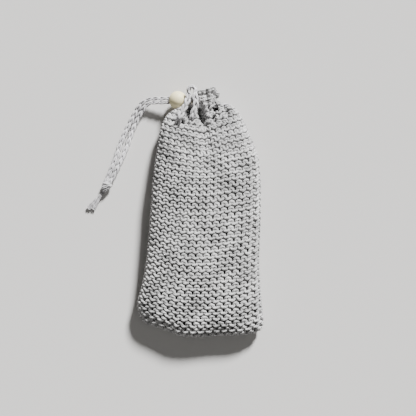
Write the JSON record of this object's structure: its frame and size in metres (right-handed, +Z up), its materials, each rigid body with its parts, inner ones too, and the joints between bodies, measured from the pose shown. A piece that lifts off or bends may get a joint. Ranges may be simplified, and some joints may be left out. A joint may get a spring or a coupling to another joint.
{
  "type": "knitted drawstring pouch",
  "caption": "Small garter-stitch cotton pouch with a gathered drawstring mouth, closed by a chain-stitch cord through a wooden bead and a knot.",
  "frame": {"origin": "middle of the underside of the pouch, which lies on its back, measured without the free cord and its bead", "axes": "+Y along the pouch towards its mouth, +X to the right seen from above with the mouth up, +Z up out of the front"},
  "size_m": [0.1531, 0.211, 0.0281],
  "materials": {
    "cotton_garter": "matte light grey cotton yarn, knitted in garter stitch",
    "seam_yarn": "matte light grey cotton yarn, sewn",
    "cotton_cord": "matte light grey cotton yarn, crocheted into a chain",
    "pale_wood": "turned pale wood, sanded, unvarnished"
  },
  "bodies": {
    "pouch": {"front_panel": "cotton_garter", "back_panel": "cotton_garter", "back_header": "cotton_garter", "back_mouth_edge": "cotton_garter", "left_side_seam": "seam_yarn", "right_side_seam": "seam_yarn", "bottom_seam": "seam_yarn", "drawstring_back_run": "cotton_cord", "drawstring_strand_a": "cotton_cord", "drawstring_strand_b": "cotton_cord", "stopper_knot": "cotton_cord", "yarn_end_a": "cotton_cord", "yarn_end_b": "cotton_cord"},
    "front_lip": {"front_neck": "cotton_garter", "front_header": "cotton_garter", "front_mouth_edge": "cotton_garter", "drawstring_front_run": "cotton_cord", "drawstring_loop": "cotton_cord"},
    "bead": {"wooden_bead": "pale_wood"}
  },
  "joints": [
    {"name": "mouth_open", "type": "hinge", "parent": "pouch", "child": "front_lip", "pos_m": [0.004, 0.06, 0.0256], "axis": [1, 0, 0], "range_deg": [0, 25]},
    {"name": "bead_slide", "type": "slide", "parent": "pouch", "child": "bead", "axis": [-0.9848, 0, -0.1736], "range_m": [0, 0.014]}
  ]
}
